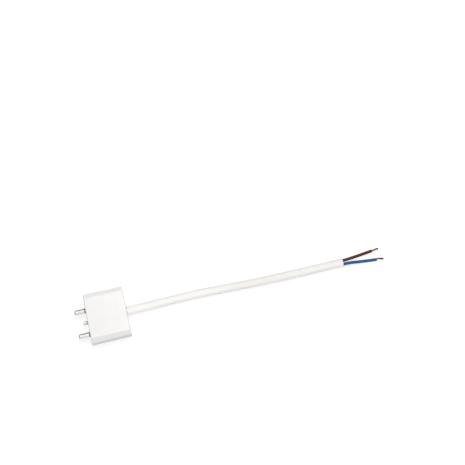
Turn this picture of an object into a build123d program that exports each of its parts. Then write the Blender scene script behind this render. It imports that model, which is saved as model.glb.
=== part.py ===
from build123d import *
from math import radians, tan
import os

# Flat two-pin ceiling light plug on a short two-core lead, in millimetres.
# X runs along the plug from the pin tips (-X) to the cord (+X), Y across it, and Z up.
# The origin lies under the middle of the plug and its pins, on the face that it lies on.

# Housing, two half shells that meet at mid thickness
housing_length = 29.0
housing_width = 37.0
housing_thickness = 11.0
bevel_width = 3.5
bevel_height = 1.4
front_edge_radius = 0.8
rear_edge_radius = 1.3
side_edge_radius = 0.4
side_wall = 1.8
floor_wall = 1.6
front_wall = 2.5
rear_wall = 2.2
rib_thickness = 1.2
lip_height = 1.0
lip_thickness = 0.8
joint_clearance = 0.1
parting_chamfer = 0.15  # edge break where the shells meet

# Contact pins, each one piece with the terminal block behind it
pin_diameter = 4.0
pin_projection = 8.3
pin_pitch = 18.0
pin_offset = -1.75  # middle of the pin pair from the middle of the housing
pin_tip_radius = 1.2
pin_seat_diameter = 4.8  # shoulder of the pin inside the front wall
pin_clearance = 0.05
terminal_length = 6.5
terminal_width = 6.0
terminal_height = 6.4
wire_hole_depth = 5.5
wire_clearance = 0.05
wire_end_gap = 0.5

# Terminal screws
terminal_screw_diameter = 3.0
terminal_screw_bite = 0.1
slot_width = 0.6
slot_depth = 0.8

# Centre peg, moulded on a tongue of the lower shell
peg_diameter = 2.9
peg_projection = 3.5
peg_edge_radius = 0.5
tongue_margin = 1.0

# Screw that closes the shells from below
screw_diameter = 2.9
screw_length = 6.5
screw_setback = 10.5  # from the contact face
screw_head_diameter = 5.4
screw_head_height = 2.0
screw_head_sink = 0.6
screw_head_edge_radius = 0.6
screw_head_clearance = 0.3
screw_hole_clearance = 0.15
pilot_spare_depth = 0.4
cross_width = 0.7
cross_length = 3.0
cross_depth = 1.1
boss_wall = 1.2

# Cord, its two cores and their conductors
cord_diameter = 6.6
core_diameter = 2.4
conductor_diameter = 1.0
core_spacing = 2.7
cord_entry = 7.0  # sheath inside the housing
cord_clearance = 0.1
exit_chamfer = 0.5
grip_margin = 1.0
grip_gap = 0.7
grip_shoulder = 2.5
core_setback = 0.6  # insulation ends this far behind the terminal
core_bend_radius = 3.0  # inside the housing
core_lead_straight = 4.0
tail_straight = 5.0
bare_length = 6.0
bare_diameter = 1.35  # the strands open where they are stripped
bend_share = 0.45  # of the shorter run beside a bend, taken up by its arc

# Places worked out from the sizes
front_x = -(housing_length - pin_projection) / 2
rear_x = front_x + housing_length
axis_z = housing_thickness / 2
cord_z = cord_diameter / 2
core_z = core_diameter / 2
inner_front_x = front_x + front_wall
inner_rear_x = rear_x - rear_wall
inner_half_width = housing_width / 2 - side_wall
terminal_rear_x = inner_front_x + terminal_length
terminal_screw_x = inner_front_x + terminal_length / 2
terminal_bottom_z = axis_z - terminal_height / 2
terminal_top_z = axis_z + terminal_height / 2
line_y = pin_offset + pin_pitch / 2
neutral_y = pin_offset - pin_pitch / 2
wire_hole_z = axis_z + wire_clearance
sheath_start_x = rear_x - cord_entry
screw_x = front_x + screw_setback
screw_seat_z = screw_head_sink + screw_head_height
base_grip_x = sheath_start_x + grip_margin
cover_grip_x = base_grip_x + rib_thickness + grip_gap

# Cord route: straight out of the housing, down to the surface, then a slight sway to the cut end
cord_route = [
    Vector(sheath_start_x, 0, axis_z),
    Vector(rear_x + 5, 0, axis_z),
    Vector(rear_x + 28, 0.9, cord_z),
    Vector(rear_x + 55, 1.3, cord_z),
    Vector(rear_x + 89, -0.2, cord_z),
    Vector(rear_x + 131, -0.9, cord_z),
    Vector(rear_x + 172, -0.5, cord_z),
]
brown_tail = [Vector(rear_x + 187, 2.2, core_z), Vector(rear_x + 199.8, 3.85, core_z)]
blue_tail = [Vector(rear_x + 187.5, -2.8, core_z), Vector(rear_x + 201.3, -4.0, core_z)]


def block(x_range, y_range, z_range):
    size = [high - low for low, high in (x_range, y_range, z_range)]
    middle = [(high + low) / 2 for low, high in (x_range, y_range, z_range)]
    return Pos(*middle) * Box(*size)


def span(middle, width):
    return (middle - width / 2, middle + width / 2)


def rod_along_x(x_from, x_to, y, z, diameter):
    return Pos((x_from + x_to) / 2, y, z) * Rot(0, 90, 0) * Cylinder(diameter / 2, x_to - x_from)


def rod_along_z(x, y, z_from, z_to, diameter):
    return Pos(x, y, (z_from + z_to) / 2) * Cylinder(diameter / 2, z_to - z_from)


def bevelled_bar(x_range, half_width, z_range):
    low, high = z_range
    corners = [
        (x_range[0], half_width - bevel_width, low),
        (x_range[0], half_width, low + bevel_height),
        (x_range[0], half_width, high - bevel_height),
        (x_range[0], half_width - bevel_width, high),
        (x_range[0], bevel_width - half_width, high),
        (x_range[0], -half_width, high - bevel_height),
        (x_range[0], -half_width, low + bevel_height),
        (x_range[0], bevel_width - half_width, low),
    ]
    section = make_face(Polyline(*corners, close=True))
    return extrude(section, amount=x_range[1] - x_range[0], dir=(1, 0, 0))


def housing_shape():
    shape = bevelled_bar((front_x, rear_x), housing_width / 2, (0, housing_thickness))
    for end, radius in ((0, front_edge_radius), (-1, rear_edge_radius)):
        end_edges = shape.faces().filter_by(Axis.X).sort_by(Axis.X)[end].edges()
        shape = fillet(end_edges - end_edges.filter_by(Axis.Z), radius)
    side_faces = shape.faces().filter_by(Axis.Y)
    return fillet(side_faces.edges().filter_by(Axis.Z), side_edge_radius)


def housing_cavity():
    z_range = (floor_wall, housing_thickness - floor_wall)
    return bevelled_bar((inner_front_x, inner_rear_x), inner_half_width, z_range)


def half_space(z_range):
    return block((front_x, rear_x), span(0, housing_width), z_range)


# Room that the contacts, the cord and the screw need, cut from both shells
def terminal_pocket(y):
    x_range = (inner_front_x, terminal_rear_x + joint_clearance)
    z_range = (terminal_bottom_z, terminal_top_z + joint_clearance)
    return block(x_range, span(y, terminal_width + 2 * joint_clearance), z_range)


def cord_channel():
    channel = rod_along_x(sheath_start_x, inner_rear_x, 0, axis_z, cord_diameter)
    exit_diameter = cord_diameter + 2 * cord_clearance
    channel += rod_along_x(inner_rear_x, rear_x, 0, axis_z, exit_diameter)
    mouth = Cone(exit_diameter / 2, exit_diameter / 2 + exit_chamfer, exit_chamfer)
    return channel + Pos(rear_x - exit_chamfer / 2, 0, axis_z) * Rot(0, 90, 0) * mouth


def shared_cuts():
    cuts = [cord_channel()]
    for y in (line_y, neutral_y):
        hole_diameter = pin_seat_diameter + 2 * pin_clearance
        cuts.append(rod_along_x(front_x, inner_front_x, y, axis_z, hole_diameter))
        cuts.append(terminal_pocket(y))
        core_room = core_diameter + 2 * joint_clearance
        notch_end_x = terminal_rear_x + joint_clearance + rib_thickness
        cuts.append(rod_along_x(terminal_rear_x, notch_end_x, y, axis_z, core_room))
    return cuts


def grip_rib(x, z_range):
    return block((x, x + rib_thickness), span(0, cord_diameter + 2 * grip_shoulder), z_range)


def side_lips(extra, z_top):
    x_range = (inner_front_x + joint_clearance - extra, inner_rear_x - joint_clearance + extra)
    z_range = (axis_z - lip_height - extra, z_top)
    lips = []
    for side in (-1, 1):
        wall_y = (side * inner_half_width, side * (inner_half_width + lip_thickness + extra))
        lips.append(block(x_range, sorted(wall_y), z_range))
    return lips


def peg_tongue(extra):
    width = peg_diameter + 2 * tongue_margin + 2 * extra
    top_z = axis_z + peg_diameter / 2 + tongue_margin + extra
    z_range = (axis_z - parting_chamfer, top_z)
    return block((front_x, inner_front_x), span(pin_offset, width), z_range)


def housing_base():
    shell = housing_shape() & half_space((0, axis_z))
    shell = chamfer(shell.faces().sort_by(Axis.Z)[-1].edges(), parting_chamfer)
    shell -= housing_cavity()
    cradle_x = (inner_front_x, terminal_rear_x + joint_clearance + rib_thickness)
    cradle_width = terminal_width + 2 * joint_clearance + 2 * rib_thickness
    for y in (line_y, neutral_y):
        shell += block(cradle_x, span(y, cradle_width), (floor_wall, axis_z))
    shell += grip_rib(base_grip_x, (floor_wall, axis_z))
    head_room = screw_head_diameter + 2 * screw_head_clearance
    shell += rod_along_z(screw_x, pin_offset, floor_wall, axis_z, head_room + 2 * boss_wall)
    for cut in shared_cuts():
        shell -= cut
    for rebate in side_lips(joint_clearance, axis_z):
        shell -= rebate
    shell -= rod_along_z(screw_x, pin_offset, 0, screw_seat_z, head_room)
    screw_room = screw_diameter + 2 * screw_hole_clearance
    shell -= rod_along_z(screw_x, pin_offset, screw_seat_z, axis_z, screw_room)
    peg = rod_along_x(front_x - peg_projection, inner_front_x, pin_offset, axis_z, peg_diameter)
    peg = fillet(peg.edges().sort_by(Axis.X)[0], peg_edge_radius)
    return shell + peg_tongue(0) + peg


def housing_cover():
    roof_z = housing_thickness - floor_wall
    shell = housing_shape() & half_space((axis_z, housing_thickness))
    shell = chamfer(shell.faces().sort_by(Axis.Z)[0].edges(), parting_chamfer)
    shell -= housing_cavity()
    for y in (line_y, neutral_y):
        pad_x = (inner_front_x, terminal_rear_x)
        shell += block(pad_x, span(y, terminal_width), (terminal_top_z, roof_z))
    shell += grip_rib(cover_grip_x, (axis_z, roof_z))
    boss_diameter = screw_diameter + 2 * boss_wall
    shell += rod_along_z(screw_x, pin_offset, axis_z, roof_z, boss_diameter)
    for lip in side_lips(0, axis_z + lip_height):
        shell += lip
    for cut in shared_cuts():
        shell -= cut
    pilot_top_z = screw_seat_z + screw_length + pilot_spare_depth
    shell -= rod_along_z(screw_x, pin_offset, axis_z, pilot_top_z, screw_diameter)
    return shell - peg_tongue(joint_clearance)


def contact(y):
    pin = rod_along_x(front_x - pin_projection, front_x, y, axis_z, pin_diameter)
    pin = fillet(pin.edges().sort_by(Axis.X)[0], pin_tip_radius)
    seat = rod_along_x(front_x, inner_front_x, y, axis_z, pin_seat_diameter)
    z_range = (terminal_bottom_z, terminal_top_z)
    body = pin + seat + block((inner_front_x, terminal_rear_x), span(y, terminal_width), z_range)
    wire_hole = conductor_diameter + 2 * wire_clearance
    body -= rod_along_x(terminal_rear_x - wire_hole_depth, terminal_rear_x, y, wire_hole_z, wire_hole)
    screw_hole = (wire_hole_z, terminal_top_z, terminal_screw_diameter)
    return body - rod_along_z(terminal_screw_x, y, *screw_hole)


def terminal_screw(y):
    tip_z = axis_z + conductor_diameter / 2 - terminal_screw_bite
    screw = rod_along_z(terminal_screw_x, y, tip_z, terminal_top_z, terminal_screw_diameter)
    slot_z = (terminal_top_z - slot_depth, terminal_top_z)
    across = span(y, terminal_screw_diameter)
    return screw - block(span(terminal_screw_x, slot_width), across, slot_z)


def housing_screw():
    head = rod_along_z(screw_x, pin_offset, screw_head_sink, screw_seat_z, screw_head_diameter)
    head = fillet(head.edges().sort_by(Axis.Z)[0], screw_head_edge_radius)
    for across_x, across_y in ((cross_length, cross_width), (cross_width, cross_length)):
        cross_z = (screw_head_sink, screw_head_sink + cross_depth)
        head -= block(span(screw_x, across_x), span(pin_offset, across_y), cross_z)
    tip_z = screw_seat_z + screw_length
    return head + rod_along_z(screw_x, pin_offset, screw_seat_z, tip_z, screw_diameter)


# Cord, cores and conductors share one route, shifted sideways for each core
def bend_radii(points):
    radii = []
    for before, corner, after in zip(points, points[1:], points[2:]):
        arriving = corner - before
        leaving = after - corner
        half_turn = radians(arriving.get_angle(leaving)) / 2
        shorter_run = min(arriving.length, leaving.length)
        radii.append(bend_share * shorter_run / tan(half_turn))
    return radii


def tube(points, radii, diameter):
    path = FilletPolyline(*points, radius=radii)
    start = Plane(origin=points[0], z_dir=points[1] - points[0])
    return sweep(start * Circle(diameter / 2), path=path)


def sideways(direction, distance):
    return Vector(-direction.Y, direction.X, 0).normalized() * distance


def core_points(terminal_y, shift, tail):
    inside = [
        Vector(terminal_rear_x + core_setback, terminal_y, axis_z),
        Vector(terminal_rear_x + core_lead_straight, terminal_y, axis_z),
        Vector(sheath_start_x - core_lead_straight, shift, axis_z),
    ]
    along = []
    for before, corner, after in zip(cord_route, cord_route[1:], cord_route[2:]):
        along.append(corner + sideways(after - before, shift))
    end_run = (cord_route[-1] - cord_route[-2]).normalized()
    leaving = cord_route[-1] + end_run * tail_straight + sideways(end_run, shift)
    return inside + along + [leaving] + tail


def core_radii(points):
    radii = bend_radii(points)
    return [core_bend_radius, core_bend_radius] + radii[2:]


def conductor_solid(points, radii):
    wire_end = Vector(terminal_rear_x - wire_hole_depth + wire_end_gap, points[0].Y, axis_z)
    covered = tube([wire_end] + points[1:], radii, conductor_diameter)
    strip_plane = Plane(origin=points[-1], z_dir=points[-1] - points[-2])
    return covered + extrude(strip_plane * Circle(bare_diameter / 2), amount=bare_length)


os.makedirs("parts", exist_ok=True)
brown_points = core_points(line_y, core_spacing / 2, brown_tail)
blue_points = core_points(neutral_y, -core_spacing / 2, blue_tail)
cord_radii = bend_radii(cord_route)
print("cord bend radii", [round(radius) for radius in cord_radii])
terminal_screws = [terminal_screw(line_y), terminal_screw(neutral_y)]
sheath = tube(cord_route, cord_radii, cord_diameter)
nodes = {
    "housing_base": housing_base(),
    "housing_cover": housing_cover(),
    "line_contact": contact(line_y),
    "neutral_contact": contact(neutral_y),
    "terminal_screws": Compound(terminal_screws),
    "housing_screw": housing_screw(),
}
for name, points, screw in zip(("brown", "blue"), (brown_points, blue_points), terminal_screws):
    radii = core_radii(points)
    print(name, "core bend radii", [round(radius, 1) for radius in radii])
    conductor = conductor_solid(points, radii)
    core = tube(points, radii, core_diameter)
    sheath -= core
    nodes[name + "_core"] = core - conductor
    nodes[name + "_conductor"] = conductor - screw
nodes["cord_sheath"] = sheath
for name, solid in nodes.items():
    export_step(solid, f"parts/{name}.step")
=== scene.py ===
import math
import bmesh
import bpy
from mathutils import Matrix, Vector
from mathutils.kdtree import KDTree


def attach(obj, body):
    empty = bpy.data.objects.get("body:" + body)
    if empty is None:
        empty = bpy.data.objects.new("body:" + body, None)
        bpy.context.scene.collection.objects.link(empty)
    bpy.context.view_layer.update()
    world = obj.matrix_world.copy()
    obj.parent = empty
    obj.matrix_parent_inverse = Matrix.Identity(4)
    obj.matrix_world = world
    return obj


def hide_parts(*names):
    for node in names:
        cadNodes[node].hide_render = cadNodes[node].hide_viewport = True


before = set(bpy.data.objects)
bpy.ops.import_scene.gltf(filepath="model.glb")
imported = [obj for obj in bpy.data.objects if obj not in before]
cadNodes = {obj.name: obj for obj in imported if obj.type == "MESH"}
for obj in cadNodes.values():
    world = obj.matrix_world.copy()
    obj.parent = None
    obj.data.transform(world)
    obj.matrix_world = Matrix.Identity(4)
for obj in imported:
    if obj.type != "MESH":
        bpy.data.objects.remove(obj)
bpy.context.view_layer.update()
scene = bpy.context.scene
mm = 0.001  # sizes are in millimetres unless a note says metres, the scene is in metres
print("frame loaded,", len(cadNodes), "nodes")


# Camera at the photograph's viewing angle
photoCamera = {
    "azimuth": -31.75,  # degrees
    "elevation": 69.06,
    "roll": 17.85,
    "target": (112.63, 44.3, 0),  # point in the middle of the picture
    "distance": 517.72,
    "focalPixels": 650,
    "imagePixels": 465,
    "sensorWidth": 36,
    "clipStart": 10,
}


def makeCamera(spec):
    azimuth, elevation, roll = (math.radians(spec[k]) for k in ("azimuth", "elevation", "roll"))
    level = Vector((math.cos(azimuth), math.sin(azimuth), 0))
    back = Vector((math.sin(azimuth), -math.cos(azimuth), 0)) * math.cos(elevation)
    back.z = math.sin(elevation)
    right = Matrix.Rotation(roll, 3, back) @ level
    up = back.cross(right)
    data = bpy.data.cameras.new("photoCamera")
    data.sensor_width = spec["sensorWidth"]
    data.lens = spec["sensorWidth"] * spec["focalPixels"] / spec["imagePixels"]
    data.clip_start = spec["clipStart"] * mm
    camera = bpy.data.objects.new("photoCamera", data)
    place = (Vector(spec["target"]) + back * spec["distance"]) * mm
    turn = Matrix((right, up, back)).transposed().to_4x4()
    camera.matrix_world = Matrix.Translation(place) @ turn
    scene.collection.objects.link(camera)
    scene.camera = camera


makeCamera(photoCamera)
print("camera placed")


# Small helpers for node trees
def addNode(tree, kind, **settings):
    node = tree.nodes.new(kind)
    for name, value in settings.items():
        setattr(node, name, value)
    return node


def setInputs(node, **values):
    for name, value in values.items():
        node.inputs[name.replace("_", " ")].default_value = value
    return node


def linkMath(tree, operation, first, second=None):
    node = addNode(tree, "ShaderNodeMath", operation=operation)
    for socket, value in zip(node.inputs, (first, second)):
        if isinstance(value, (int, float)):
            socket.default_value = value
        elif value is not None:
            tree.links.new(value, socket)
    return node.outputs[0]


# Steps that the materials share
noiseLow = 0.3  # most of a noise texture lies between these two values
noiseHigh = 0.7


def newMaterial(name):
    material = bpy.data.materials.new(name)
    material.use_nodes = True
    tree = material.node_tree
    return material, tree, tree.nodes["Principled BSDF"]


def objectPlace(tree):
    return addNode(tree, "ShaderNodeTexCoord").outputs["Object"]


def objectNoise(tree, size, stretch=(1, 1, 1), detail=2, source=None):
    if source is None:
        source = objectPlace(tree)
    mapping = addNode(tree, "ShaderNodeMapping")
    mapping.inputs["Scale"].default_value = [1 / (size * mm * s) for s in stretch]
    noise = addNode(tree, "ShaderNodeTexNoise")
    setInputs(noise, Scale=1.0, Detail=detail, Roughness=0.55)
    tree.links.new(source, mapping.inputs["Vector"])
    tree.links.new(mapping.outputs["Vector"], noise.inputs["Vector"])
    return noise.outputs["Fac"]


def ramp(tree, value, stops, target=None):
    node = addNode(tree, "ShaderNodeValToRGB")
    elements = node.color_ramp.elements
    elements[0].position, elements[1].position = stops[0][0], stops[-1][0]
    for stop in stops[1:-1]:
        elements.new(stop[0])
    for element, stop in zip(elements, stops):
        element.color = (*stop[1], 1)
    tree.links.new(value, node.inputs["Fac"])
    if target is not None:
        tree.links.new(node.outputs["Color"], target)
    return node.outputs["Color"]


# Lets a colour drift between its dark and its light tone
def mottled(tree, value, spec, target=None):
    return ramp(tree, value, [(noiseLow, spec["dark"]), (noiseHigh, spec["light"])], target)


# Paints shade into a colour: dims it by tones that stand at shares of the way from low to high
def paintShade(tree, colour, value, target, low, high, tones):
    span = addNode(tree, "ShaderNodeMapRange")
    setInputs(span, From_Min=low * mm, From_Max=high * mm)
    tree.links.new(value, span.inputs["Value"])
    shade = ramp(tree, span.outputs["Result"], [(place, (tone, tone, tone)) for place, tone in tones])
    mix = addNode(tree, "ShaderNodeMix", data_type="RGBA", blend_type="MULTIPLY")
    mix.inputs["Factor"].default_value = 1.0
    tree.links.new(colour, mix.inputs["A"])
    tree.links.new(shade, mix.inputs["B"])
    tree.links.new(mix.outputs["Result"], target)


def roughened(tree, shader, value, spec):
    node = addNode(tree, "ShaderNodeMapRange")
    setInputs(node, From_Min=noiseLow, From_Max=noiseHigh, To_Min=spec["smooth"], To_Max=spec["rough"])
    tree.links.new(value, node.inputs["Value"])
    tree.links.new(node.outputs["Result"], shader.inputs["Roughness"])


def bump(tree, shader, height, depth, strength, before=None):
    node = addNode(tree, "ShaderNodeBump")
    setInputs(node, Strength=strength, Distance=depth * mm)
    tree.links.new(height, node.inputs["Height"])
    if before is not None:
        tree.links.new(before, node.inputs["Normal"])
    tree.links.new(node.outputs["Normal"], shader.inputs["Normal"])
    return node.outputs["Normal"]


# White moulded plastic of the two shells
shellFinish = {
    "dark": (0.752, 0.74, 0.73),
    "light": (0.782, 0.77, 0.76),
    "patchSize": 9,
    "specular": 0.75,
    "smooth": 0.32,  # roughness lies between smooth and rough
    "rough": 0.44,
    "grainSize": 0.22,
    "grainDepth": 0.012,
    "waveSize": 14,  # slow waves that the mould leaves
    "waveDepth": 0.03,
    "pegRoot": (-10.35, -1.75, 5.5),
    "paintedRootShade": {"low": 1.4, "high": 1.8, "tones": [(0.0, 0.45), (1.0, 1.0)]},  # painted shade round the peg's root, where the front wall shades it
}


def shellPlastic(spec):
    material, tree, shader = newMaterial("shellPlastic")
    white = mottled(tree, objectNoise(tree, spec["patchSize"], detail=3), spec)
    # Painted shade round the root of the peg, darker near where it leaves the front
    fromRoot = addNode(tree, "ShaderNodeVectorMath", operation="DISTANCE")
    fromRoot.inputs[1].default_value = Vector(spec["pegRoot"]) * mm
    tree.links.new(objectPlace(tree), fromRoot.inputs[0])
    paintShade(tree, white, fromRoot.outputs["Value"], shader.inputs["Base Color"], **spec["paintedRootShade"])
    setInputs(shader, Specular_IOR_Level=spec["specular"])
    grain = objectNoise(tree, spec["grainSize"], detail=3)
    roughened(tree, shader, grain, spec)
    waves = objectNoise(tree, spec["waveSize"], detail=1)
    wavy = bump(tree, shader, waves, spec["waveDepth"], strength=0.25)
    bump(tree, shader, grain, spec["grainDepth"], strength=0.35, before=wavy)
    return material


# Place round and along a cord: cosine, sine and length in metres
def layCoordinates(tree):
    lay = addNode(tree, "ShaderNodeAttribute", attribute_name="lay").outputs["Vector"]
    parts = addNode(tree, "ShaderNodeSeparateXYZ")
    tree.links.new(lay, parts.inputs[0])
    return lay, parts.outputs


# White sheath of the cord
cordFinish = {
    "dark": (0.822, 0.803, 0.782),
    "light": (0.852, 0.833, 0.812),
    "specular": 0.25,
    "smooth": 0.36,
    "rough": 0.5,
    "grainSize": 0.35,
    "grainDepth": 0.012,
    "streakSize": 700,  # long extrusion marks, measured on the lay
    "streakStretch": (1, 1, 0.06),
    "streakDepth": 0.03,
    "paintedFarShade": {"low": 62, "high": 92, "tones": [(0.0, 1.0), (1.0, 0.95)]},  # painted shade where less light falls, darker past its bend
}


def cordPvc(spec):
    material, tree, shader = newMaterial("cordPvc")
    lay, parts = layCoordinates(tree)
    streaks = objectNoise(tree, spec["streakSize"], stretch=spec["streakStretch"], detail=3, source=lay)
    white = mottled(tree, streaks, spec)
    # Painted shade along the cord, a little darker far from the plug where less light falls
    paintShade(tree, white, parts["Z"], shader.inputs["Base Color"], **spec["paintedFarShade"])
    setInputs(shader, Specular_IOR_Level=spec["specular"])
    grain = objectNoise(tree, spec["grainSize"], detail=3)
    roughened(tree, shader, grain, spec)
    streaky = bump(tree, shader, streaks, spec["streakDepth"], strength=0.3)
    bump(tree, shader, grain, spec["grainDepth"], strength=0.3, before=streaky)
    return material


# Coloured insulation of the two cores
coreFinish = {
    "patchSize": 5,
    "specular": 0.1,
    "smooth": 0.3,
    "rough": 0.45,
    "grainSize": 0.3,
    "grainDepth": 0.01,
    "ridges": 8,  # strands press through the insulation
    "ridgePitch": 12,  # from ridge to ridge along the core
    "ridgeDepth": 0.05,
}
coreColours = {
    "brown": {"dark": (0.092, 0.0235, 0.012), "light": (0.121, 0.0325, 0.0165)},
    "blue": {"dark": (0.006, 0.088, 0.26), "light": (0.010, 0.115, 0.33)},
}


def corePvc(name, colours, spec):
    material, tree, shader = newMaterial(name)
    patches = objectNoise(tree, spec["patchSize"], detail=2)
    mottled(tree, patches, colours, shader.inputs["Base Color"])
    setInputs(shader, Specular_IOR_Level=spec["specular"])
    grain = objectNoise(tree, spec["grainSize"], detail=2)
    roughened(tree, shader, grain, spec)
    parts = layCoordinates(tree)[1]
    angle = linkMath(tree, "ARCTAN2", parts["Y"], parts["X"])
    around = linkMath(tree, "MULTIPLY", angle, spec["ridges"])
    along = linkMath(tree, "MULTIPLY", parts["Z"], 2 * math.pi / (spec["ridgePitch"] * mm))
    ridges = linkMath(tree, "SINE", linkMath(tree, "ADD", around, along))
    ridged = bump(tree, shader, ridges, spec["ridgeDepth"], strength=0.5)
    bump(tree, shader, grain, spec["grainDepth"], strength=0.3, before=ridged)
    return material


# Plated pins and steel screws
nickelFinish = {
    "dark": (0.70, 0.70, 0.69),
    "light": (0.78, 0.78, 0.77),
    "patchSize": 2.5,
    "smooth": 0.12,
    "rough": 0.24,
    "markSize": 0.05,
    "markStretch": (1, 60, 60),  # fine rings from turning
    "markDepth": 0.003,
    "paintedEndShade": {"low": -18.65, "high": -10.35,  # painted shade and dark reflection, from the tip to the root of a pin
                "tones": [(0.0, 0.2), (0.08, 1.0), (0.87, 1.0), (0.92, 0.2), (1.0, 0.15)]},
}
zincFinish = {
    "dark": (0.60, 0.61, 0.63),
    "light": (0.72, 0.73, 0.74),
    "patchSize": 2.5,
    "smooth": 0.30,
    "rough": 0.42,
    "markSize": 0.12,
    "markStretch": (1, 1, 1),
    "markDepth": 0.003,
}


def metal(name, spec):
    material, tree, shader = newMaterial(name)
    setInputs(shader, Metallic=1.0)
    patches = objectNoise(tree, spec["patchSize"], detail=3)
    colour = mottled(tree, patches, spec, shader.inputs["Base Color"])
    # Painted shade and dark reflection near the tip and the root of each pin
    if "paintedEndShade" in spec:
        parts = addNode(tree, "ShaderNodeSeparateXYZ")
        tree.links.new(objectPlace(tree), parts.inputs[0])
        paintShade(tree, colour, parts.outputs["X"], shader.inputs["Base Color"], **spec["paintedEndShade"])
    marks = objectNoise(tree, spec["markSize"], stretch=spec["markStretch"], detail=3)
    roughened(tree, shader, marks, spec)
    bump(tree, shader, marks, spec["markDepth"], strength=0.3)
    return material


# Copper whose strands each have their own tone
copperFinish = {
    "dark": (0.04, 0.011, 0.006),
    "light": (0.38, 0.13, 0.07),
    "smooth": 0.25,
    "rough": 0.45,
    "markSize": 0.12,
    "markDepth": 0.004,
}


def strandCopper(spec):
    material, tree, shader = newMaterial("strandCopper")
    setInputs(shader, Metallic=1.0)
    tone = addNode(tree, "ShaderNodeAttribute", attribute_name="strandTone").outputs["Fac"]
    ramp(tree, tone, [(0.0, spec["dark"]), (1.0, spec["light"])], shader.inputs["Base Color"])
    marks = objectNoise(tree, spec["markSize"], detail=2)
    roughened(tree, shader, marks, spec)
    bump(tree, shader, marks, spec["markDepth"], strength=0.3)
    return material


materials = {
    "shell": shellPlastic(shellFinish),
    "cord": cordPvc(cordFinish),
    "brown": corePvc("brownPvc", coreColours["brown"], coreFinish),
    "blue": corePvc("bluePvc", coreColours["blue"], coreFinish),
    "nickel": metal("nickelPlate", nickelFinish),
    "zinc": metal("zincSteel", zincFinish),
    "copper": strandCopper(copperFinish),
}
nodeFinish = {
    "housing_base": "shell",
    "housing_cover": "shell",
    "line_contact": "nickel",
    "neutral_contact": "nickel",
    "terminal_screws": "zinc",
    "housing_screw": "zinc",
}
for nodeName, finish in nodeFinish.items():
    mesh = cadNodes[nodeName].data
    mesh.materials.clear()
    mesh.materials.append(materials[finish])
print("materials made")


# Lines that the cord and its cores follow
routeShape = {
    "steps": 24,  # between two control points
    "order": 3,
}


def routeCurve(name, points):
    curve = bpy.data.curves.new(name, "CURVE")
    curve.dimensions = "3D"
    curve.resolution_u = routeShape["steps"]
    spline = curve.splines.new("NURBS")
    spline.points.add(len(points) - 1)
    for control, point in zip(spline.points, points):
        control.co = (*(Vector(point) * mm), 1)
    spline.order_u = routeShape["order"]
    spline.use_endpoint_u = True
    return curve


def lineOf(name, points):
    holder = bpy.data.objects.new(name, routeCurve(name, points))
    mesh = bpy.data.meshes.new_from_object(holder)
    bpy.data.objects.remove(holder)
    return mesh


def pathOf(line):
    return [vertex.co.copy() for vertex in line.vertices]


def lengthOf(path):
    return sum((b - a).length for a, b in zip(path, path[1:]))


# Geometry Nodes trees
def newTree(name, **inputs):
    tree = bpy.data.node_groups.new(name, "GeometryNodeTree")
    tree.interface.new_socket("Geometry", in_out="INPUT", socket_type="NodeSocketGeometry")
    for label, kind in inputs.items():
        tree.interface.new_socket(label, in_out="INPUT", socket_type="NodeSocket" + kind)
    tree.interface.new_socket("Geometry", in_out="OUTPUT", socket_type="NodeSocketGeometry")
    return tree, addNode(tree, "NodeGroupInput").outputs, addNode(tree, "NodeGroupOutput").inputs


def chain(tree, geometry, *nodes):
    for node in nodes:
        tree.links.new(geometry, node.inputs[0])
        geometry = node.outputs[0]
    return geometry


def finishTree(tree, geometry, material, result):
    smooth = addNode(tree, "GeometryNodeSetShadeSmooth")
    realize = addNode(tree, "GeometryNodeRealizeInstances")
    paint = addNode(tree, "GeometryNodeSetMaterial")
    tree.links.new(material, paint.inputs["Material"])
    tree.links.new(chain(tree, geometry, smooth, realize, paint), result[0])


def tubeTree():
    tree, given, result = newTree(
        "tubeAlongLine", radius="Float", sides="Int", caps="Bool", material="Material")
    normal = addNode(tree, "GeometryNodeSetCurveNormal", mode="Z_UP")
    line = chain(tree, given[0], addNode(tree, "GeometryNodeMeshToCurve"), normal)
    circle = addNode(tree, "GeometryNodeCurvePrimitiveCircle")
    tree.links.new(given["sides"], circle.inputs["Resolution"])
    tree.links.new(given["radius"], circle.inputs["Radius"])
    sweep = addNode(tree, "GeometryNodeCurveToMesh")
    tree.links.new(given["caps"], sweep.inputs["Fill Caps"])
    tree.links.new(line, sweep.inputs["Curve"])
    tree.links.new(circle.outputs["Curve"], sweep.inputs["Profile Curve"])
    finishTree(tree, sweep.outputs[0], given["material"], result)
    return tree


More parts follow.
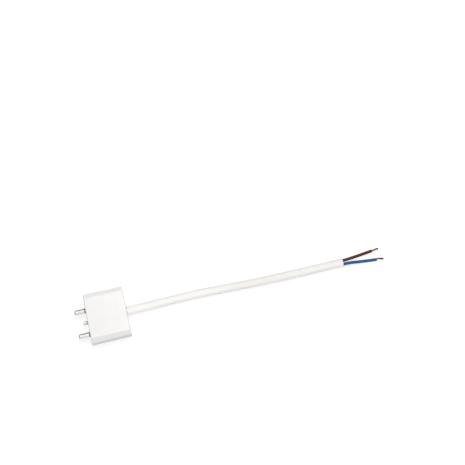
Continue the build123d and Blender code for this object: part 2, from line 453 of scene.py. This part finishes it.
def strandTree():
    tree, given, result = newTree(
        "twistedStrands", strands="Int", strandRadius="Float", strandSides="Int", strandPoints="Int",
        bundleRadius="Float", layLength="Float", splay="Float", splayPower="Float", uneven="Float",
        shortShare="Float", dullness="Float", dullPower="Float", seed="Int", material="Material")

    def times(first, second):
        return linkMath(tree, "MULTIPLY", first, second)

    def vectorMath(operation, first, second, secondSocket=1):
        node = addNode(tree, "ShaderNodeVectorMath", operation=operation)
        tree.links.new(first, node.inputs[0])
        tree.links.new(second, node.inputs[secondSocket])
        return node.outputs[0]

    def scaled(vector, amount):
        return vectorMath("SCALE", vector, amount, "Scale")

    # One copy of the line for each strand
    toCurve = addNode(tree, "GeometryNodeMeshToCurve")
    resample = addNode(tree, "GeometryNodeResampleCurve")
    tree.links.new(given["strandPoints"], resample.inputs["Count"])
    normal = addNode(tree, "GeometryNodeSetCurveNormal", mode="Z_UP")
    copies = addNode(tree, "GeometryNodeDuplicateElements", domain="SPLINE")
    tree.links.new(given["strands"], copies.inputs["Amount"])
    lines = chain(tree, given[0], toCurve, resample, normal, copies)
    index = copies.outputs["Duplicate Index"]
    dice = addNode(tree, "FunctionNodeRandomValue", data_type="FLOAT")
    tree.links.new(index, dice.inputs["ID"])
    tree.links.new(given["seed"], dice.inputs["Seed"])
    chance = dice.outputs[1]
    spline = addNode(tree, "GeometryNodeSplineParameter")
    reached = spline.outputs["Factor"]

    # Strands fill the bundle's round evenly, twist and open a little at the tip
    share = linkMath(tree, "DIVIDE", linkMath(tree, "ADD", index, 0.5), given["strands"])
    packed = times(linkMath(tree, "SQRT", share), given["bundleRadius"])
    opening = linkMath(tree, "POWER", reached, given["splayPower"])
    radius = linkMath(tree, "ADD", packed, times(times(opening, chance), given["splay"]))
    goldenTurn = math.pi * (3 - math.sqrt(5))
    twist = linkMath(tree, "DIVIDE", spline.outputs["Length"], given["layLength"])
    angle = linkMath(tree, "ADD", times(index, goldenTurn), times(twist, 2 * math.pi))
    tangent = addNode(tree, "GeometryNodeInputTangent").outputs[0]
    side = addNode(tree, "GeometryNodeInputNormal").outputs[0]
    upward = vectorMath("CROSS_PRODUCT", tangent, side)
    acrossShift = scaled(side, times(radius, linkMath(tree, "COSINE", angle)))
    upShift = scaled(upward, times(radius, linkMath(tree, "SINE", angle)))
    cutLength = times(linkMath(tree, "SUBTRACT", chance, given["shortShare"]), given["uneven"])
    endShift = scaled(tangent, times(cutLength, reached))
    move = addNode(tree, "GeometryNodeSetPosition")
    shift = vectorMath("ADD", vectorMath("ADD", acrossShift, upShift), endShift)
    tree.links.new(shift, move.inputs["Offset"])

    # Each strand has its tone, darker at its cut end
    tone = addNode(tree, "GeometryNodeStoreNamedAttribute", data_type="FLOAT", domain="POINT")
    tone.inputs["Name"].default_value = "strandTone"
    dulled = times(linkMath(tree, "POWER", reached, given["dullPower"]), given["dullness"])
    tree.links.new(linkMath(tree, "SUBTRACT", chance, dulled), tone.inputs["Value"])
    circle = addNode(tree, "GeometryNodeCurvePrimitiveCircle")
    tree.links.new(given["strandSides"], circle.inputs["Resolution"])
    tree.links.new(given["strandRadius"], circle.inputs["Radius"])
    sweep = addNode(tree, "GeometryNodeCurveToMesh")
    sweep.inputs["Fill Caps"].default_value = True
    tree.links.new(circle.outputs["Curve"], sweep.inputs["Profile Curve"])
    finishTree(tree, chain(tree, lines, tone, move, sweep), given["material"], result)
    return tree


# Runs a tree on a line and keeps the result as a plain mesh
def grown(name, line, tree, **inputs):
    holder = bpy.data.objects.new(name, line)
    scene.collection.objects.link(holder)
    modifier = holder.modifiers.new(name, "NODES")
    modifier.node_group = tree
    for socket in tree.interface.items_tree:
        if socket.in_out == "INPUT" and socket.name in inputs:
            modifier[socket.identifier] = inputs[socket.name]
    depsgraph = bpy.context.evaluated_depsgraph_get()
    mesh = bpy.data.meshes.new_from_object(holder.evaluated_get(depsgraph))
    holder.modifiers.clear()
    bpy.data.objects.remove(holder)
    mesh.name = name
    return mesh


tubeNodes = tubeTree()
strandNodes = strandTree()


def tube(name, line, diameter, sides, finish, caps=True):
    return grown(name, line, tubeNodes, radius=diameter / 2 * mm, sides=sides, caps=caps,
                 material=materials[finish])


# Joins an outer and an inner wall to a tube with a hole right through
def walledTube(name, line, diameter, hole, sides, finish):
    outer, inner = (tube(name, line, width, sides, finish, caps=False) for width in (diameter, hole))
    work = bmesh.new()
    work.from_mesh(inner)
    bmesh.ops.reverse_faces(work, faces=work.faces)  # the inner wall faces the hole
    work.from_mesh(outer)
    path = pathOf(line)
    for end in (path[0], path[-1]):
        rims = [edge for edge in work.edges
                if edge.is_boundary and (edge.verts[0].co - end).length < diameter * mm]
        bmesh.ops.bridge_loops(work, edges=rims)
    work.to_mesh(outer)
    work.free()
    return outer


# Stores where each point of a tube lies round and along its line
def markLay(mesh, path):
    finder = KDTree(len(path))
    for i, point in enumerate(path):
        finder.insert(point, i)
    finder.balance()
    reached = [0.0]
    for a, b in zip(path, path[1:]):
        reached.append(reached[-1] + (b - a).length)
    lay = mesh.attributes.new("lay", "FLOAT_VECTOR", "POINT")
    for vertex, value in zip(mesh.vertices, lay.data):
        nearest, i = finder.find(vertex.co)[:2]
        tangent = (path[min(i + 1, len(path) - 1)] - path[max(i - 1, 0)]).normalized()
        side = tangent.cross(Vector((0, 0, 1))).normalized()
        offset = vertex.co - nearest
        angle = math.atan2(offset.dot(side.cross(tangent)), offset.dot(side))
        value.vector = (math.cos(angle), math.sin(angle), reached[i] + offset.dot(tangent))


# How the ends of the sheath and the cores are cut
knifeCut = {
    "band": 0.5,  # only points this near to the end are moved
    "ripple": 0.4,  # small waves on the slope of the cut
    "setBack": 0.6,  # moves the cut back, so that little of it passes the line's end
    "rimSegments": 2,
    "rimAngle": 50,  # degrees, sharper edges are broken
    "creaseAngle": 35,  # degrees, sharper edges stay sharp in the shading
}


# Leaves the far end of a tube slightly uneven, as a knife does
def roughCut(mesh, path, depth):
    end = lengthOf(path) - knifeCut["band"] * mm
    onward = (path[-1] - path[-2]).normalized()
    for vertex, value in zip(mesh.vertices, mesh.attributes["lay"].data):
        across, up, along = value.vector
        if along > end:
            angle = math.atan2(up, across)
            wave = math.sin(angle) + knifeCut["ripple"] * math.sin(3 * angle + 1)
            vertex.co += onward * depth * mm * (wave - knifeCut["setBack"])


def sharpen(mesh, degrees):
    work = bmesh.new()
    work.from_mesh(mesh)
    for face in work.faces:
        face.smooth = True
    for edge in work.edges:
        edge.smooth = len(edge.link_faces) == 2 and edge.calc_face_angle() < math.radians(degrees)
    work.to_mesh(mesh)
    work.free()


# Breaks the cut edges of a tube and takes the bores out of it
def cutTube(name, body, path, cutEdge, cutDepth, bores=()):
    piece = bpy.data.objects.new(name, body)
    scene.collection.objects.link(piece)
    rim = piece.modifiers.new("rim", "BEVEL")
    rim.width = cutEdge * mm
    rim.segments = knifeCut["rimSegments"]
    rim.limit_method = "ANGLE"
    rim.angle_limit = math.radians(knifeCut["rimAngle"])
    cutters = []
    for bore in bores:
        cutter = bpy.data.objects.new(bore.name, bore)
        scene.collection.objects.link(cutter)
        cut = piece.modifiers.new("bore", "BOOLEAN")
        cut.operation = "DIFFERENCE"
        cut.solver = "EXACT"
        cut.object = cutter
        cutters.append(cutter)
    depsgraph = bpy.context.evaluated_depsgraph_get()
    mesh = bpy.data.meshes.new_from_object(piece.evaluated_get(depsgraph))
    piece.modifiers.clear()
    piece.data = mesh
    for cutter in cutters:
        bpy.data.objects.remove(cutter)
    markLay(mesh, path)
    roughCut(mesh, path, cutDepth)
    sharpen(mesh, knifeCut["creaseAngle"])
    return piece


def joined(name, *meshes):
    work = bmesh.new()
    for mesh in meshes:
        work.from_mesh(mesh)
    mesh = bpy.data.meshes.new(name)
    work.to_mesh(mesh)
    work.free()
    mesh.materials.append(meshes[0].materials[0])
    return mesh


# White two-core cord, from its grip in the plug to its cut end
cord = {
    "route": [(11.65, 0, 5.5), (23.65, 0, 5.5), (46.65, 0.9, 3.3), (73.65, 1.3, 3.3),
              (107.65, -0.2, 3.3), (149.65, -0.9, 3.3), (190.65, -0.5, 3.3)],
    "exit": (18.65, 0, 5.5),  # rear face of the plug
    "diameter": 6.6,
    "sides": 64,
    "coreRoom": 0.06,  # added to the cores' diameter
    "cutEdge": 0.16,
    "cutDepth": 0.12,
}
# Brown and blue core, from the terminals to their cut ends
core = {
    "diameter": 2.4,
    "sides": 40,
    "wireRoom": 1.3,
    "cutEdge": 0.08,
    "cutDepth": 0.14,
    "wireDiameter": 1.0,  # where the insulation hides it
    "wireSides": 14,
}
coreRoutes = {
    "brown": [(-0.75, 7.25, 5.5), (2.65, 7.25, 5.5), (7.65, 1.35, 5.5), (23.65, 1.35, 5.5),
              (46.65, 2.25, 3.3), (73.65, 2.65, 3.3), (107.65, 1.15, 3.3), (149.65, 0.55, 3.3),
              (186.65, 0.4, 3.3), (193.65, 0.95, 3.2), (205.65, 2.35, 1.2), (218.45, 3.85, 1.2)],
    "blue": [(-0.75, -10.75, 5.5), (2.65, -10.75, 5.5), (7.65, -1.35, 5.5), (23.65, -1.35, 5.5),
             (46.65, -0.45, 3.3), (73.65, -0.05, 3.3), (107.65, -1.55, 3.3), (149.65, -2.25, 3.3),
             (195.65, -1.75, 3.3), (206.15, -2.8, 1.2), (219.95, -4.0, 1.2)],
}
# Bare strands, from inside the cut end of the insulation to their tips
bareEnd = {
    "strands": 24,
    "strandDiameter": 0.2,
    "strandSides": 8,
    "strandPoints": 28,
    "bundleRadius": 0.54,
    "layLength": 13,
    "splay": 0.1,
    "splayPower": 3.0,  # the strands part near the tip
    "uneven": 0.35,  # spread of the cut lengths
    "shortShare": 0.7,  # part of that spread that falls short of the line's end
    "dullness": 0.8,
    "dullPower": 6.0,  # only the cut ends are dull
    "seed": 5,
    "wireStart": -6.35,  # in the terminal
}
bareRoutes = {
    "brown": [(215.45, 3.46, 1.2), (218.45, 3.85, 1.2), (221.45, 4.25, 1.2), (224.35, 4.6, 1.15)],
    "blue": [(216.95, -3.74, 1.2), (220.2, -4.0, 1.2), (221.6, -3.3, 1.25), (223.4, -3.95, 1.2),
             (225.85, -4.6, 1.15)],
}

cordLine = lineOf("cordLine", cord["route"])
coreLines = {colour: lineOf(colour + "CoreLine", route) for colour, route in coreRoutes.items()}

sheathBody = tube("cordSheath", cordLine, cord["diameter"], cord["sides"], "cord")
boreWidth = core["diameter"] + cord["coreRoom"]
sheathBores = [tube(c + "Bore", line, boreWidth, core["sides"], "cord") for c, line in coreLines.items()]
cordPath = pathOf(cordLine)
cordSheath = cutTube("cordSheath", sheathBody, cordPath, cord["cutEdge"], cord["cutDepth"], sheathBores)
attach(cordSheath, "root")
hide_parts("cord_sheath")
print("cord sheath made,", len(cordSheath.data.polygons), "faces")

for colour, line in coreLines.items():
    insulation = walledTube(
        colour + "Core", line, core["diameter"], core["wireRoom"], core["sides"], colour)
    corePath = pathOf(line)
    corePiece = cutTube(colour + "Core", insulation, corePath, core["cutEdge"], core["cutDepth"])
    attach(corePiece, "root")
    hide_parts(colour + "_core")

    route = coreRoutes[colour]
    bareRoute = bareRoutes[colour]
    wireRoute = [(bareEnd["wireStart"], *route[0][1:])] + route[1:-1] + [bareRoute[0]]
    wireLine = lineOf(colour + "WireLine", wireRoute)
    wire = tube(colour + "Wire", wireLine, core["wireDiameter"], core["wireSides"], "copper")
    bundle = grown(
        colour + "Strands", lineOf(colour + "BareLine", bareRoute), strandNodes,
        strands=bareEnd["strands"], strandRadius=bareEnd["strandDiameter"] / 2 * mm,
        strandSides=bareEnd["strandSides"], strandPoints=bareEnd["strandPoints"],
        bundleRadius=bareEnd["bundleRadius"] * mm, layLength=bareEnd["layLength"] * mm,
        splay=bareEnd["splay"] * mm, splayPower=bareEnd["splayPower"],
        uneven=bareEnd["uneven"] * mm, shortShare=bareEnd["shortShare"],
        dullness=bareEnd["dullness"], dullPower=bareEnd["dullPower"],
        seed=bareEnd["seed"], material=materials["copper"])
    conductor = bpy.data.objects.new(colour + "Conductor", joined(colour + "Conductor", bundle, wire))
    scene.collection.objects.link(conductor)
    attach(conductor, "root")
    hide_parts(colour + "_conductor")

    print(colour, "core made,", len(corePiece.data.polygons), "faces, wire made,",
          len(conductor.data.polygons), "faces")


# Floor, lights and backdrop, in metres and watts
floorPaper = {
    "dark": (0.27, 0.27, 0.27),
    "light": (0.29, 0.29, 0.29),
    "patchSize": 60,  # millimetres
    "roughness": 0.8,
    "size": 4.0,
    "drop": 0.00005,
    "glow": (0.74, 1.0),  # under the plug and far from it
    "fade": (0.6, 1.3),  # distances between which the glow rises
}
softboxes = {
    "ceilingCloth": {"place": (0.1, 0.1, 1.2), "size": (2.2, 2.5), "power": 18.0, "aim": (0.1, 0.1, 0)},
    "keyBox": {"place": (0.25, 0.33, 1.0), "size": (0.35, 0.35), "power": 4.7},
    "frontCard": {"place": (0.1, -1.2, 0.5), "size": (1.8, 1.0), "power": 0.9},
    "leftBox": {"place": (-0.8, 0, 0.8), "size": (0.7, 0.7), "power": 1.2},
    "rightBox": {"place": (1.0, 0.0, 0.8), "size": (0.7, 0.7), "power": 2.4},
    "glossCard": {"place": (0.1, -1.1, 0.48), "size": (1.8, 0.95), "power": 4.0, "glossOnly": True},
    "backGloss": {"place": (-0.9, 1.1, 0.85), "size": (1.8, 1.2), "power": 3.5, "glossOnly": True},
    "cordBox": {"place": (0.1, -0.34, 1.0), "size": (1.2, 1.2), "power": 6.3},
    "cordCard": {"place": (0.1, 1.2, 0.3), "size": (1.8, 0.6), "power": 2.4},
}
cordLights = {
    "keyBox": "EXCLUDE",
    "cordBox": "INCLUDE",  # a softer box in place of the key
    "cordCard": "INCLUDE",  # lifts the far side
}
boxAim = (0.1, 0, 0)  # middle of the part, where a box has no aim of its own
backdropTone = 1.0


def makeFloor(spec):
    half = spec["size"] / 2
    low = -spec["drop"]
    mesh = bpy.data.meshes.new("floor")
    corners = [(-half, -half, low), (half, -half, low), (half, half, low), (-half, half, low)]
    mesh.from_pydata(corners, [], [(0, 1, 2, 3)])
    material, tree, shader = newMaterial("floorPaper")
    patches = objectNoise(tree, spec["patchSize"], detail=2)
    mottled(tree, patches, spec, shader.inputs["Base Color"])
    setInputs(shader, Roughness=spec["roughness"], Emission_Color=(1, 1, 1, 1))
    fromMiddle = addNode(tree, "ShaderNodeVectorMath", operation="LENGTH")
    tree.links.new(objectPlace(tree), fromMiddle.inputs[0])
    whiter = addNode(tree, "ShaderNodeMapRange")  # runs out into the white backdrop
    near, far = spec["fade"]
    dim, bright = spec["glow"]
    setInputs(whiter, From_Min=near, From_Max=far, To_Min=dim, To_Max=bright)
    tree.links.new(fromMiddle.outputs["Value"], whiter.inputs["Value"])
    tree.links.new(whiter.outputs["Result"], shader.inputs["Emission Strength"])
    mesh.materials.append(material)
    floor = bpy.data.objects.new("floor", mesh)
    scene.collection.objects.link(floor)


def makeSoftbox(name, place, size, power, aim=boxAim, glossOnly=False):
    light = bpy.data.lights.new(name, "AREA")
    light.shape = "RECTANGLE"
    light.size, light.size_y = size
    light.energy = power
    lamp = bpy.data.objects.new(name, light)
    lamp.visible_diffuse = not glossOnly
    lamp.location = place
    lamp.rotation_euler = (Vector(aim) - Vector(place)).to_track_quat("-Z", "Y").to_euler()
    scene.collection.objects.link(lamp)


# Links a light to the cord alone, or keeps the light off it
def lightCord(lampName, state):
    targets = bpy.data.collections.new(lampName + "Targets")
    targets.objects.link(cordSheath)
    targets.collection_objects[0].light_linking.link_state = state
    bpy.data.objects[lampName].light_linking.receiver_collection = targets


def makeWorld(strength):
    world = bpy.data.worlds.new("studioWorld")
    world.use_nodes = True
    setInputs(world.node_tree.nodes["Background"], Color=(1, 1, 1, 1), Strength=strength)
    scene.world = world
    world.cycles_visibility.diffuse = False  # a pale backdrop that adds no light
    world.cycles_visibility.glossy = False


makeFloor(floorPaper)
for boxName, box in softboxes.items():
    makeSoftbox(boxName, **box)
for lampName, state in cordLights.items():
    lightCord(lampName, state)
makeWorld(backdropTone)
scene.view_settings.view_transform = "Standard"
print("studio lit")
